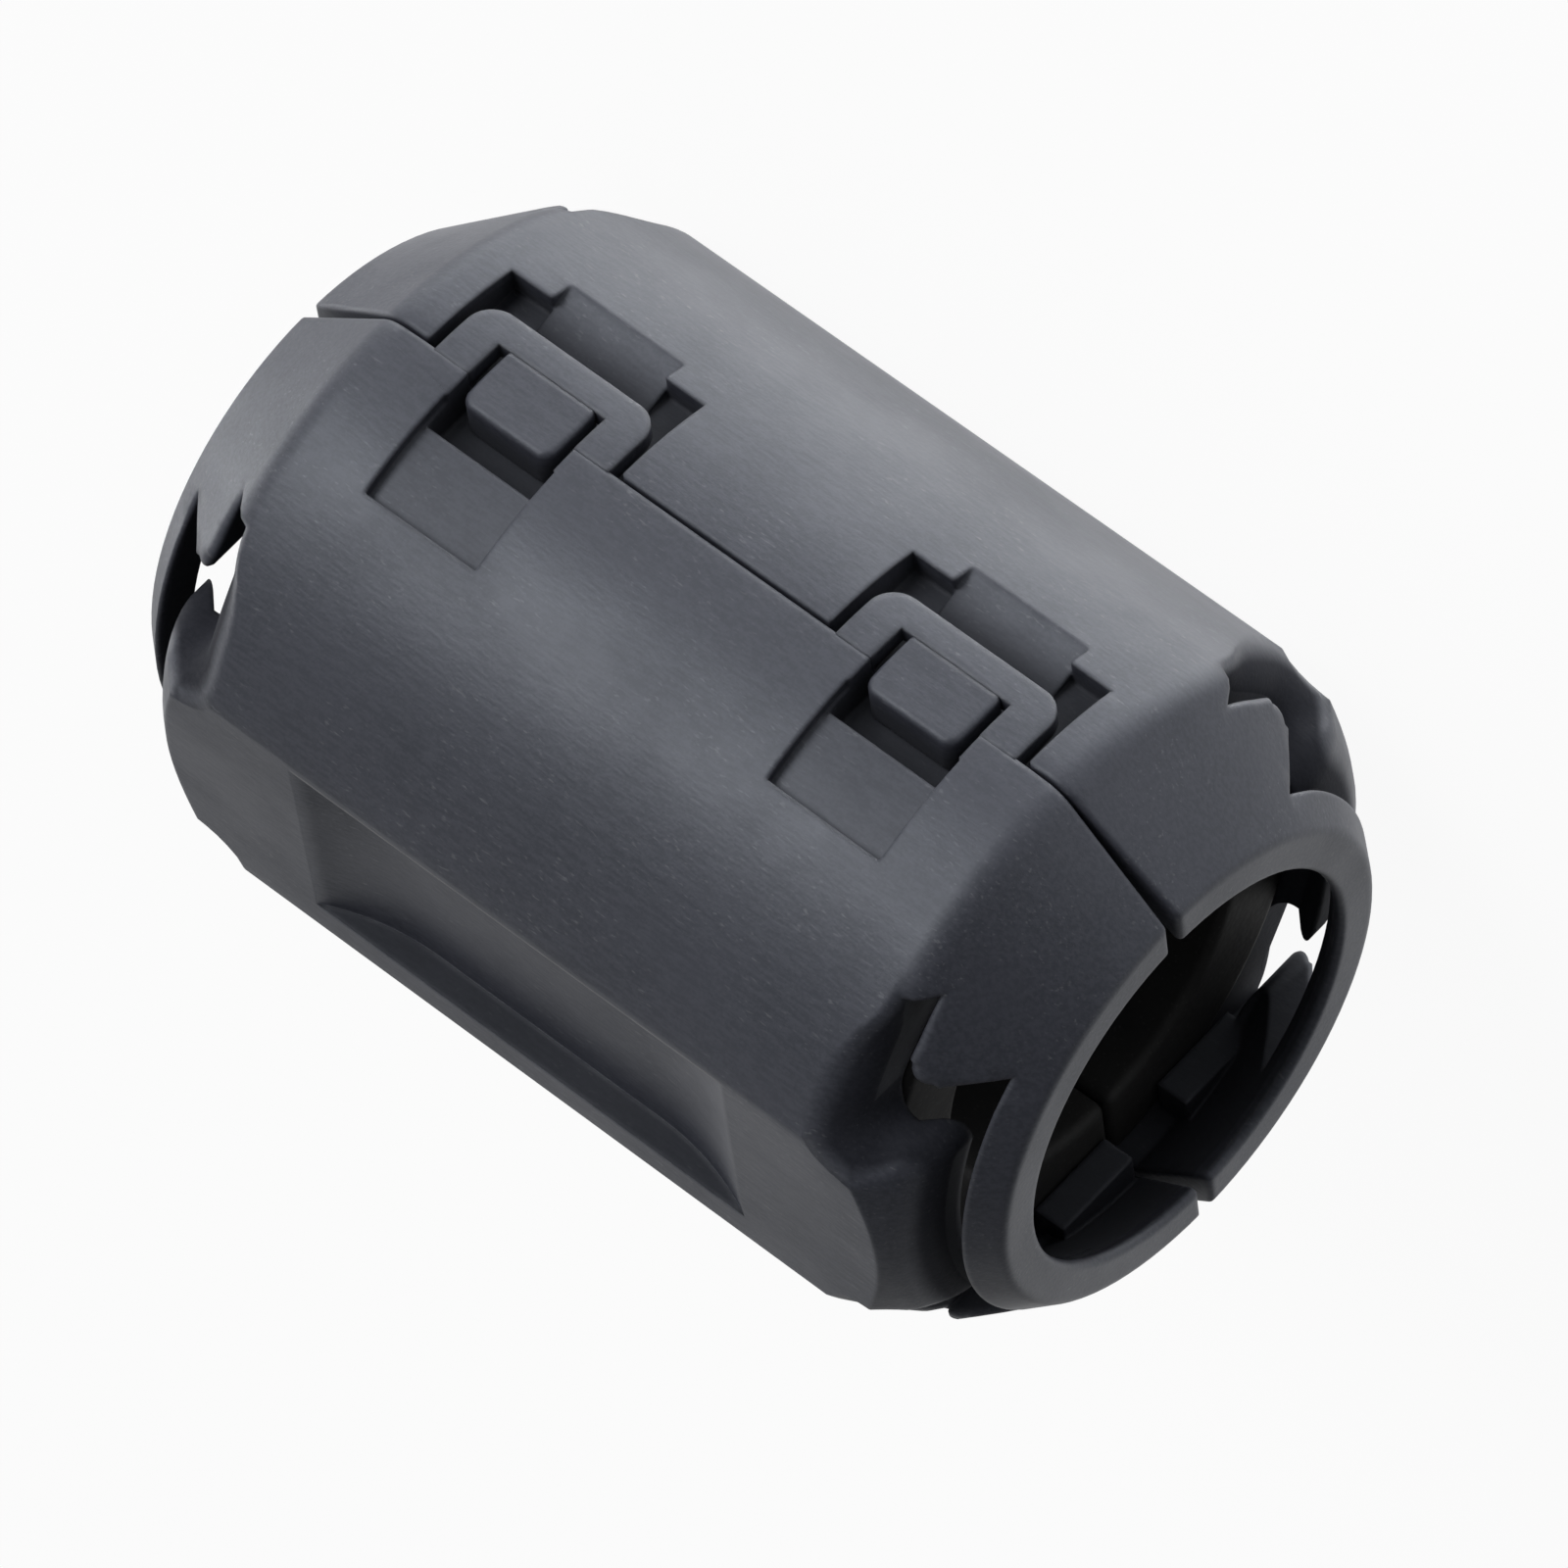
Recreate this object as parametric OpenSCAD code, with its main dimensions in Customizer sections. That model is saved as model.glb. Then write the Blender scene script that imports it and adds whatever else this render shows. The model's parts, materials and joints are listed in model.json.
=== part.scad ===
// Clip-on ferrite bead: two half cases on living hinges, two latch loops and a split ferrite core.
// Millimetres. X runs along the cable, the latches face -Y, +Z is up and the lid is the upper half.
// The origin is on the cable axis, half way along, in the plane where the halves meet.

/* [Case] */
// Overall length along the cable
case_length = 36; // [30:0.5:44]
// Diameter of the round barrel
barrel_diameter = 24.6; // [21:0.1:28]
// Length of each end cone
cone_length = 4.2; // [3.6:0.1:4.8]
// Radius that rounds the barrel into the end cones
cone_round = 1.6; // [0.4:0.1:2.5]
// Depth of the two flats below the round of the barrel
flat_depth = 1; // [0.6:0.1:1.2]
// Wall of the case around the core
case_wall = 2.55; // [2.2:0.05:3]
// Wall of the end cones
cone_wall = 1.3; // [1:0.1:1.6]
// Outer diameter of the end collars
collar_diameter = 17.4; // [15:0.1:19.6]
// Wall of the end collars
collar_wall = 1.45; // [1:0.05:1.8]
// Gap between the two halves along the barrel
seam_gap = 0.1; // [0.06:0.02:0.3]
// Gap between the two halves at the face of the collars
collar_gap = 0.5; // [0.2:0.05:0.8]

/* [Core] */
// Wall of the ferrite core around its bore
core_wall = 3.15; // [2.6:0.05:4]
// Distance of the core behind the face of the collars
core_inset = 4; // [3.8:0.1:5]
// Radial clearance between the core and the case
core_clearance = 0.1; // [0.05:0.05:0.3]
// Gap between the two core halves
core_gap = 0.06; // [0.04:0.02:0.2]

/* [Flat scoop] */
// Distance between the scoop and the end slots
scoop_margin = 4.6; // [2.4:0.05:6]
// Depth of the scoop below the flat
scoop_depth = 1; // [0.4:0.1:1.1]
// Radius of the ramps at the ends of the scoop
scoop_ramp = 10; // [3:0.5:10]
// Rim between the scoop and the latch side of the flat
scoop_rim_latch = 0.4; // [0.2:0.1:1.5]
// Rim between the scoop and the hinge side of the flat
scoop_rim_hinge = 1.3; // [0.4:0.1:2]

/* [End slots] */
// Distance of the cross slots before the end cones
slot_inset = 0.1; // [0.05:0.05:0.8]
// Width of the cross slot along the cable
slot_width = 0.75; // [0.6:0.05:1.2]
// Distance of the outer end of the cross slot inside the round of the barrel
slot_side = 2.9; // [2.5:0.1:3.6]
// Distance of the free edge of the collar tongue inside the round of the collar
tongue_inset = 1.85; // [1.4:0.05:2.2]
// Width of the slot between the collar tongue and the end panel
channel_width = 2.1; // [1.6:0.1:2.4]
// Corner radius where the two slots meet
slot_radius = 1; // [0.5:0.1:1]
// Radius of the free corner of the collar tongue
tongue_radius = 1; // [0.3:0.1:1.2]
// Length of the collar band beyond the groove
collar_band = 1.1; // [0.9:0.05:1.5]
// Width of the groove between the panel tip and the collar band
groove_width = 0.8; // [0.5:0.1:1]

/* [Latch] */
// Distance from the end of the barrel to the middle of each latch
latch_inset = 5.45; // [5:0.05:6.5]
// Length of the window in the loop
window_length = 4.46; // [3.8:0.02:5]
// Width of the legs of the loop
loop_leg = 1.42; // [1:0.02:1.6]
// Width of the cross bar of the loop
loop_bar = 1.12; // [0.8:0.02:1.3]
// Reach of the loop below the seam
loop_reach = 2.45; // [2.1:0.05:2.8]
// Thickness of the loop at the crown of the barrel
loop_thickness = 0.8; // [0.6:0.05:0.9]
// Radius of the outer corners of the loop
loop_radius = 1; // [0.4:0.1:1.1]
// Gap between the loop and the ends of the pocket
pocket_play = 0.4; // [0.25:0.05:0.6]
// Room below the loop in the pocket
pocket_room = 1.4; // [1:0.05:1.6]
// Gap between the loop and the floor of the pocket
pocket_gap = 0.9; // [0.5:0.05:1]
// Length of the ramp that leads a blade under the loop
notch_length = 4.75; // [3:0.05:6]
// Reach of the ramp below the pocket
notch_reach = 0.9; // [0.6:0.05:1.1]
// Depth of the foot of the ramp below the crown of the barrel
ramp_depth = 1.65; // [1.1:0.05:1.7]
// Gap between the hook and the sides of the window
hook_play = 0.38; // [0.2:0.02:0.6]
// Gap between the hook and the cross bar of the loop
catch_gap = 0.08; // [0.06:0.02:0.4]
// Reach of the hook above the seam
hook_above = 1; // [0.6:0.1:1.4]
// Drop of the hook below the crown of the barrel
hook_drop = 0.08; // [0.06:0.02:0.4]
// Radius of the upper corners of the hook
hook_radius = 0.5; // [0.2:0.05:0.8]
// Room above the hook in the window of the lid
window_room = 1.1; // [0.8:0.1:1.4]
// Width of the shallow relief beyond each side of the window
relief_margin = 0.07; // [0.05:0.01:0.4]
// Reach of the shallow relief above the seam
relief_reach = 4.95; // [4.2:0.05:5.2]
// Depth of the shallow relief
relief_depth = 0.45; // [0.25:0.05:0.6]

/* [Hinge] */
// Length of each living hinge strap along the cable
strap_length = 7; // [5:0.1:8]
// Thickness of the straps
strap_thickness = 0.5; // [0.3:0.05:0.7]
// Radius of the bend to the middle of the strap
strap_bend = 1; // [0.8:0.05:1.3]
// Distance of the hinge line behind the barrel
hinge_offset = 0.5; // [0.4:0.05:0.8]
// Depth of the flat land that carries the straps
land_depth = 0.4; // [0.3:0.05:0.6]

/* [Hidden] */
$fn = 96;
margin = 1;
barrel_radius = barrel_diameter / 2;
half_length = case_length / 2;
half_barrel = half_length - cone_length;
collar_radius = collar_diameter / 2;
hole_radius = collar_radius - collar_wall;
cavity_radius = barrel_radius - case_wall;
core_radius = cavity_radius - core_clearance;
core_length = case_length - 2 * core_inset;
bore_radius = core_radius - core_wall;
half_flats = barrel_radius - flat_depth;
flat_edge = sqrt(barrel_radius * barrel_radius - half_flats * half_flats);
half_gap = seam_gap / 2;
half_collar_gap = collar_gap / 2;
cone_slope = (barrel_radius - collar_radius) / cone_length;
cone_turn = atan(cone_slope);
round_run = cone_round * tan(cone_turn / 2);
cone_inset = cone_wall / cos(cone_turn);
inner_start = barrel_radius - cone_inset;
cavity_end = half_barrel + (inner_start - cavity_radius) / cone_slope;
lip_start = half_barrel + (inner_start - hole_radius) / cone_slope;
slot_start = half_barrel - slot_inset;
slot_outer = barrel_radius - slot_side;
tongue_edge = collar_radius - tongue_inset;
panel_edge = tongue_edge - channel_width;
panel_tip = half_length - collar_band - groove_width;
scoop_length = 2 * (slot_start - scoop_margin);
latch_x = half_barrel - latch_inset;
loop_length = window_length + 2 * loop_leg;
pocket_length = loop_length + 2 * pocket_play;
pocket_reach = loop_reach + pocket_room;
pocket_floor = barrel_radius - loop_thickness - pocket_gap;
notch_edge = pocket_reach + notch_reach;
ramp_start = loop_reach + 0.15;
ramp_foot = barrel_radius - ramp_depth;
ramp_top = sqrt(barrel_radius * barrel_radius - notch_edge * notch_edge);
ramp_slope = (ramp_top - ramp_foot) / (notch_edge - ramp_start);
loop_inner = barrel_radius - loop_thickness;
bar_edge = loop_reach - loop_bar;
hook_length = window_length - 2 * hook_play;
hook_edge = bar_edge - catch_gap;
hook_crest = barrel_radius - hook_drop;
window_above = hook_above + window_room;
window_floor = pocket_floor - 0.15;
relief_length = window_length + 2 * relief_margin;
relief_radius = barrel_radius - relief_depth;
lug_gap = 0.08;
lug_thickness = 1.2;
lug_inner = hole_radius + 0.3 * (cavity_radius - hole_radius);
lug_outer = cavity_radius + 0.4;
lid_lug = [half_collar_gap + 0.05, 3.7];
base_lug = [2.2, 5.6];
hinge_y = barrel_radius + hinge_offset;
land_y = barrel_radius - land_depth;
strap_outer = strap_bend + strap_thickness / 2;
strap_inner = strap_bend - strap_thickness / 2;
land_height = strap_outer + 0.35;
strap_play = 0.02;
shell_colour = [0.2, 0.2, 0.22];
core_colour = [0.3, 0.3, 0.31];

// Turns a profile of radius and length about the cable axis.
module about_cable() {
  rotate([0, 90, 0]) rotate_extrude() children();
}

// A box given by its low and high corners.
module span_box(low, high) {
  translate(low) cube(high - low);
}

// Everything above the seam, with the relief that widens the seam along the end cones.
module above_seam() {
  reach = half_length + margin;
  depth = barrel_radius + margin;
  rise = half_gap + (half_collar_gap - half_gap) * (reach - half_barrel) / (half_length - half_barrel);
  rotate([90, 0, 0]) linear_extrude(2 * depth, center = true) polygon([
    [-reach, rise],
    [-half_barrel, half_gap],
    [half_barrel, half_gap],
    [reach, rise],
    [reach, depth],
    [-reach, depth]
  ]);
}

// Profile of the case in radius and length, with the barrel rounded into the cones.
module case_profile() {
  round_x = half_barrel - round_run;
  tip_x = half_barrel + round_run * cos(cone_turn);
  tip_r = barrel_radius - round_run * sin(cone_turn);
  polygon([
    [0, -half_length],
    [collar_radius, -half_length],
    [tip_r, -tip_x],
    [barrel_radius, -round_x],
    [barrel_radius, round_x],
    [tip_r, tip_x],
    [collar_radius, half_length],
    [0, half_length]
  ]);
  for (end = [-1, 1]) {
    translate([barrel_radius - cone_round, end * round_x]) circle(cone_round);
  }
}

// Outer form of the whole case: barrel, end cones and the two flats.
module case_form() {
  intersection() {
    about_cable() case_profile();
    span_box(
      [-half_length - margin, -barrel_radius - margin, -half_flats],
      [half_length + margin, barrel_radius + margin, half_flats]
    );
  }
}

// Space inside the case: the core's seat, the inner cones and the cable holes.
module case_cavity() {
  about_cable() polygon([
    [0, -half_length - margin],
    [hole_radius, -half_length - margin],
    [hole_radius, -lip_start],
    [cavity_radius, -cavity_end],
    [cavity_radius, cavity_end],
    [hole_radius, lip_start],
    [hole_radius, half_length + margin],
    [0, half_length + margin]
  ]);
}

// Outline of the slots at one end on the latch side, seen along Z.
module slot_outline() {
  square_end = slot_start + slot_width;
  groove_end = panel_tip + groove_width;
  translate([slot_start, -slot_outer]) square([slot_width, slot_outer - panel_edge - slot_radius]);
  translate([slot_start + slot_radius, -tongue_edge]) {
    square([groove_end - slot_start - slot_radius, tongue_edge - panel_edge]);
  }
  translate([slot_start + slot_radius, -panel_edge - slot_radius]) circle(slot_radius);
  translate([panel_tip, -tongue_edge]) square([groove_width, tongue_edge + margin]);
  difference() {
    translate([square_end - slot_width / 2, -tongue_edge - tongue_radius]) {
      square([slot_width / 2 + tongue_radius, tongue_radius + channel_width / 2]);
    }
    translate([square_end + tongue_radius, -tongue_edge - tongue_radius]) circle(tongue_radius);
  }
}

// The slots that free the end panel from the collar, at both ends of one half.
module end_slots() {
  for (end = [0, 1], side = [0, 1]) {
    mirror([end, 0, 0]) mirror([0, side, 0]) {
      translate([0, 0, margin]) linear_extrude(barrel_radius + margin) slot_outline();
    }
  }
}

// Lugs that keep the core from sliding out, at both ends, over a span of heights above the seam.
module core_lugs(span) {
  for (end = [0, 1], side = [0, 1]) {
    mirror([end, 0, 0]) mirror([0, side, 0]) {
      lug_x = core_length / 2 + lug_gap;
      intersection() {
        span_box(
          [lug_x, -barrel_radius, span[0]],
          [lug_x + lug_thickness, -lug_inner, span[1]]
        );
        rotate([0, 90, 0]) cylinder(h = case_length, r = lug_outer);
      }
    }
  }
}

// The scoop in the flat: a level floor with round ramps at both ends.
module flat_scoop() {
  ramp_run = sqrt(2 * scoop_ramp * scoop_depth - scoop_depth * scoop_depth);
  floor_half = scoop_length / 2 - ramp_run;
  floor_z = half_flats - scoop_depth;
  low_y = -flat_edge + scoop_rim_latch;
  high_y = flat_edge - scoop_rim_hinge;
  translate([0, high_y, 0]) rotate([90, 0, 0]) linear_extrude(high_y - low_y) {
    translate([-floor_half, floor_z]) square([2 * floor_half, 2 * scoop_ramp]);
    for (end = [-1, 1]) {
      translate([end * floor_half, floor_z + scoop_ramp]) circle(scoop_ramp);
    }
  }
}

// Flat lands on the hinge side that carry the ends of the straps.
module hinge_lands() {
  for (end = [-1, 1]) {
    span_box(
      [end * latch_x - strap_length / 2 - 0.2, land_y, -land_height],
      [end * latch_x + strap_length / 2 + 0.2, barrel_radius + margin, land_height]
    );
  }
}

// One half of the case before its latch features, above the seam.
module half_case(lug_span) {
  difference() {
    intersection() {
      union() {
        difference() {
          case_form();
          case_cavity();
          end_slots();
        }
        core_lugs(lug_span);
      }
      above_seam();
    }
    flat_scoop();
    hinge_lands();
  }
}

// One pocket of the base, with the ramp that leads a blade under the loop.
module latch_pocket(x) {
  front = -barrel_radius - margin;
  half_pocket = pocket_length / 2;
  half_notch = notch_length / 2;
  span_box([x - half_pocket, front, -ramp_start], [x + half_pocket, -pocket_floor, margin]);
  span_box([x - half_pocket, front, -pocket_reach], [x - half_notch, -pocket_floor, margin]);
  span_box([x + half_notch, front, -pocket_reach], [x + half_pocket, -pocket_floor, margin]);
  translate([x + half_notch, 0, 0]) rotate([0, -90, 0]) linear_extrude(notch_length) polygon([
    [-ramp_start + margin, front],
    [-ramp_start + margin, -ramp_foot],
    [-ramp_start, -ramp_foot],
    [-notch_edge - margin, -ramp_top - ramp_slope * margin],
    [-notch_edge - margin, front]
  ]);
}

// Outline of the hook seen from the latch side, round at its upper corners.
module hook_outline() {
  half_hook = hook_length / 2;
  translate([-half_hook, -hook_edge]) square([hook_length, hook_edge + hook_above - hook_radius]);
  translate([-half_hook + hook_radius, -hook_edge]) {
    square([hook_length - 2 * hook_radius, hook_edge + hook_above]);
  }
  for (end = [-1, 1]) {
    translate([end * (half_hook - hook_radius), hook_above - hook_radius]) circle(hook_radius);
  }
}

// One hook of the base: it stands in the pocket and reaches above the seam.
module latch_hook(x) {
  root_y = 0.4 - pocket_floor;
  intersection() {
    translate([x, root_y, 0]) rotate([90, 0, 0]) linear_extrude(hook_crest + root_y) hook_outline();
    union() {
      span_box(
        [x - hook_length, -hook_crest - margin, -hook_edge - margin],
        [x + hook_length, -pocket_floor, hook_above + margin]
      );
      span_box(
        [x - hook_length, -pocket_floor - margin, -hook_edge - margin],
        [x + hook_length, -pocket_floor + margin, -half_gap]
      );
    }
  }
}

// One window and shallow relief of the lid.
module latch_window(x) {
  front = -barrel_radius - margin;
  half_relief = relief_length / 2;
  span_box([x - window_length / 2, front, -margin], [x + window_length / 2, -window_floor, window_above]);
  difference() {
    span_box([x - half_relief, front, window_above - margin], [x + half_relief, 0, relief_reach]);
    rotate([0, 90, 0]) cylinder(h = 2 * case_length, r = relief_radius, center = true);
  }
}

// One latch loop: a U-shaped frame that hangs from the lid and holds the hook.
module latch_loop(x) {
  half_loop = loop_length / 2;
  intersection() {
    rotate([0, 90, 0]) cylinder(h = case_length, r = barrel_radius, center = true);
    translate([x, -loop_inner, 0]) rotate([90, 0, 0]) linear_extrude(margin + loop_thickness) difference() {
      union() {
        translate([-half_loop, -loop_reach + loop_radius]) square([loop_length, loop_reach - loop_radius]);
        translate([-half_loop + loop_radius, -loop_reach]) {
          square([loop_length - 2 * loop_radius, loop_reach]);
        }
        for (end = [-1, 1]) {
          translate([end * (half_loop - loop_radius), -loop_reach + loop_radius]) circle(loop_radius);
        }
      }
      translate([-window_length / 2, -bar_edge]) square([window_length, loop_reach + margin]);
    }
  }
}

// One living hinge strap, bent into a U behind the barrel.
module hinge_strap(x) {
  leg_start = land_y + strap_play;
  translate([x + strap_length / 2, 0, 0]) rotate([0, -90, 0]) linear_extrude(strap_length) difference() {
    union() {
      translate([0, hinge_y]) circle(strap_outer);
      translate([-strap_outer, leg_start]) square([2 * strap_outer, hinge_y - leg_start]);
    }
    translate([0, hinge_y]) circle(strap_inner);
    translate([-strap_inner, leg_start - strap_outer]) {
      square([2 * strap_inner, hinge_y - leg_start + strap_outer]);
    }
    translate([-2 * strap_outer, leg_start - 2 * strap_outer]) {
      square([4 * strap_outer, 2 * strap_outer]);
    }
  }
}

// One half of the ferrite core, above the seam.
module core_half() {
  intersection() {
    rotate([0, 90, 0]) difference() {
      cylinder(h = core_length, r = core_radius, center = true);
      cylinder(h = core_length + margin, r = bore_radius, center = true);
    }
    span_box(
      [-case_length, -barrel_diameter, core_gap / 2],
      [case_length, barrel_diameter, barrel_diameter]
    );
  }
}

// Lower half of the case, with the pockets and the hooks.
module base_case() {
  color(shell_colour) union() {
    difference() {
      mirror([0, 0, 1]) half_case(base_lug);
      latch_pocket(-latch_x);
      latch_pocket(latch_x);
    }
    latch_hook(-latch_x);
    latch_hook(latch_x);
  }
}

// Upper half of the case, with the windows for the hooks.
module lid_case() {
  color(shell_colour) difference() {
    half_case(lid_lug);
    latch_window(-latch_x);
    latch_window(latch_x);
  }
}

// Latch loop on the left of the lid.
module latch_loop_left() {
  color(shell_colour) latch_loop(-latch_x);
}

// Latch loop on the right of the lid.
module latch_loop_right() {
  color(shell_colour) latch_loop(latch_x);
}

// Living hinge strap on the left.
module hinge_strap_left() {
  color(shell_colour) hinge_strap(-latch_x);
}

// Living hinge strap on the right.
module hinge_strap_right() {
  color(shell_colour) hinge_strap(latch_x);
}

// Ferrite half in the base.
module core_lower() {
  color(core_colour) mirror([0, 0, 1]) core_half();
}

// Ferrite half in the lid.
module core_upper() {
  color(core_colour) core_half();
}

base_case();
lid_case();
latch_loop_left();
latch_loop_right();
hinge_strap_left();
hinge_strap_right();
core_lower();
core_upper();
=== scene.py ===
"""Clip-on ferrite bead: a moulded case in two halves, its latches, hinge straps and split core."""
import json
import math

import bmesh
import bpy
from mathutils import Matrix, Vector
from mathutils.geometry import tessellate_polygon

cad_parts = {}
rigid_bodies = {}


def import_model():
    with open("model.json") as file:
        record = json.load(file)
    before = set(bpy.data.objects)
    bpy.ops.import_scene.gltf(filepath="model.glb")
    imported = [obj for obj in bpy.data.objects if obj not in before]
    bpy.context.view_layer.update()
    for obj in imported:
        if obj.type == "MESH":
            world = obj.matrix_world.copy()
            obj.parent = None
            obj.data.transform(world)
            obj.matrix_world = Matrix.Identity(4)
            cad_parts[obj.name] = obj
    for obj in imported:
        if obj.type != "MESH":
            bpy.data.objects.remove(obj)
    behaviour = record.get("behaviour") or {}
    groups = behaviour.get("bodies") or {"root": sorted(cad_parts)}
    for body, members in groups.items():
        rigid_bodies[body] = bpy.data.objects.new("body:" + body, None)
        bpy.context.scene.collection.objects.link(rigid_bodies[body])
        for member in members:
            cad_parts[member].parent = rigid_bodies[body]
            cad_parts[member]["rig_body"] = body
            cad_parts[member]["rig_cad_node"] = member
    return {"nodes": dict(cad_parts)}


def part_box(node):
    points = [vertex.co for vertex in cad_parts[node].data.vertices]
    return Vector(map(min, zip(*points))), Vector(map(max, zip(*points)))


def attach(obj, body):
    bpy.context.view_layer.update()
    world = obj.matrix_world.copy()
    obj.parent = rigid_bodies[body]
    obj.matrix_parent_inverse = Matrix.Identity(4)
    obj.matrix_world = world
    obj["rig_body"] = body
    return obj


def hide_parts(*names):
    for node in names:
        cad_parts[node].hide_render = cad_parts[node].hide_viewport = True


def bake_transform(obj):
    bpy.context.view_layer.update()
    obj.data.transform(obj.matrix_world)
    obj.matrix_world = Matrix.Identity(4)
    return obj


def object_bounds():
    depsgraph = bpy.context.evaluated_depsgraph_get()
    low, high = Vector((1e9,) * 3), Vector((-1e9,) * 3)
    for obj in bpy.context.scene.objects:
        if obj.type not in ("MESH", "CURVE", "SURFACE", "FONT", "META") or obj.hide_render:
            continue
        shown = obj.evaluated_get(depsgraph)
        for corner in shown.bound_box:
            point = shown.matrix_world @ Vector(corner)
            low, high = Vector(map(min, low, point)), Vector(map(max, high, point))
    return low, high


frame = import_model()
cad_low, cad_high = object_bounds()

# Metres in a millimetre. Sizes are in mm unless a name or a comment says otherwise.
MM = 0.001
MERGE = 0.002

# The case: its barrel, flats and cones
BARREL = 12.3
HALF_BARREL = 13.8
HALF_LENGTH = 18
HALF_FLATS = 11.3
COLLAR = 8.7
CONE_ROUND = 1.6
CONE_SLOPE = (BARREL - COLLAR) / (HALF_LENGTH - HALF_BARREL)
CONE_TURN = math.atan(CONE_SLOPE)
ROUND_X = HALF_BARREL - CONE_ROUND * math.tan(CONE_TURN / 2)
CONE_X = ROUND_X + CONE_ROUND * math.sin(CONE_TURN)

# The end slots, seen from above: x along the cable, y across
SLOT_START = 13.7
SLOT_END = 14.45
SLOT_OUTER = 9.4
SLOT_RADIUS = 1.0
TONGUE_EDGE = 6.85
TONGUE_RADIUS = 1.0
PANEL_EDGE = 4.75
PANEL_TIP = 16.1
PANEL_RADIUS = 1.0
GROOVE_END = 16.9

# Widths of the rolls on the edges of the slots
COLLAR_ROLL = 0.12
PANEL_ROLL = 0.75
CLOSED_ROLL = 0.15
TONGUE_ROLL = 0.4
CHANNEL_ROLL = 0.3
BARREL_ROLL = 1.45

# Where the rolls change: the barrel's narrows to a share of itself at the slots' closed ends
BARREL_TAPER = 1.5
LEAST_SHARE = 0.2
NEAR_EDGE = 0.02
NEAR_COLLAR = 0.1
PAST_CORNER = 0.3

# The flared cutter that makes the rolls
ROLL_TURN = math.radians(50)
ROLL_STEPS = 6
ROLL_DEPTH = 1.4
ROLL_BASE = 0.1
DEEPEST_ROLL = 1.6
STEM_LENGTH = 1.6
STEM_CLEARANCE = 0.02
FLARE_OUT = 0.1
FLARE_UP = 0.06
CUTTER_TOP = 14
LEAST_HEIGHT = 1
LEAST_MITRE = 0.5

# Latches: the hook's catch is its underside, and the pocket is the region round hook and loop
LATCH_X = 8.35
HOOK_HALF = 1.95
HOOK_FACE = -11.9
HOOK_ROOT = -10.8
HOOK_LOW = -1.25
HOOK_HIGH = 1.1
CATCH_TOP = -1.05
CATCH_BAND = 0.05
HOOK_EXTRA = 0.06
POCKET_HALF = 4
POCKET_HIGH = 5.2
LOOP_TOP = -0.02
LOOP_ROOT = 0.13

# Rounds on edges, and where the seam and the collars lie
WIDEST_ROUND = 0.4
HOOK_ROUND = 0.22
POCKET_ROUND = 0.06
SEAM_ROUND = 0.13
COLLAR_ROUND = 0.2
CORE_ROUND = 0.35
SEAM_HIGH = 0.3
COLLAR_FACE = 17.9

# Living hinge straps
HINGE_Y = 12.8
STRAP_X = 8.35
STRAP_LENGTH = 7.0
STRAP_BEND = 1.0
STRAP_THICKNESS = 0.5
STRAP_ROUND = 0.1
STRAP_STEPS = 24
STRAP_SHARP_DEGREES = 40
LEG_START = 11.92

# Fades of the masks of recesses, which paint shade into the colour: where a mask is nothing, then
# where it is full
DEPTH_FADE = (0.2, 1.1)
SLOT_FADE = (11.8, 12.2)
RING_FADE = (17.4, 17.2)
SEAM_FADE = (0.3, 0.35)
SCOOP_END_FADE = (11.5, 11)
SCOOP_SIDE_FADE = (5.0, 4.8)
SCOOP_TOP_FADE = (9.8, 10)
OUTSIDE_FADE = (-1, 1)
# SLOT_DARKENING: how much stronger the painted shade is in the end slots
SLOT_DARKENING = 2.2

# Colours
CHARCOAL_DARK = (0.023, 0.025, 0.034)
CHARCOAL_PALE = (0.031, 0.033, 0.044)
GRAIN_GREY = (0.047, 0.049, 0.063)
FLECK_GREY = (0.17, 0.174, 0.185)
WORN_GREY = (0.11, 0.113, 0.123)
# Painted shade: a near black mixed into recesses, slot valleys and the scoop's wall
RECESS_SHADE_BLACK = (0.010, 0.0105, 0.014)
PLASTIC_SHEEN = (0.87, 0.92, 1)
FERRITE_DARK = (0.013, 0.013, 0.014)
FERRITE_PALE = (0.019, 0.019, 0.019)
CRYSTAL_GREY = (0.07, 0.069, 0.068)

# Roughness, from the dark to the pale mottle, and strength of reflections
PLASTIC_ROUGH = (0.5, 0.43)
EDGE_POLISH = -0.08
RECESS_DULLING = 0.3
PLASTIC_GLOSS = 0.6
SLOT_GLOSS = 0.15
FERRITE_ROUGH = (0.74, 0.64)
FERRITE_GLOSS = 0.25

# The stage, in metres
FLOOR_Z = cad_low.z
FLOOR_WIDTH = 6
FLOOR_WHITE = 0.9
FLOOR_GLOW = 0.93
FLOOR_NEAR = 0.06
FLOOR_FAR = 0.5
FLOOR_FAR_LEVEL = 0.25

# The photograph's camera, from the camera fit; its place is in metres
CAMERA_SENSOR = 36
CAMERA_LENS = 342.9
CAMERA_PLACE = (-0.189653, -0.397549, 0.162558)
CAMERA_RIGHT = (-0.745226, 0.082886, -0.661640)
CAMERA_UP = (0.532187, -0.523912, -0.665051)
CAMERA_BACK = (-0.401764, -0.847730, 0.346322)


def pick_alone(piece):
    """Leaves one object selected and active."""
    bpy.ops.object.select_all(action="DESELECT")
    piece.select_set(True)
    bpy.context.view_layer.objects.active = piece


def apply_all(piece):
    """Applies every modifier of a piece in order."""
    pick_alone(piece)
    for modifier in list(piece.modifiers):
        bpy.ops.object.modifier_apply(modifier=modifier.name)


def shade(piece, degrees):
    """Smooth shading that keeps corners sharper than the angle."""
    pick_alone(piece)
    bpy.ops.object.shade_smooth_by_angle(angle=math.radians(degrees))


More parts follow.
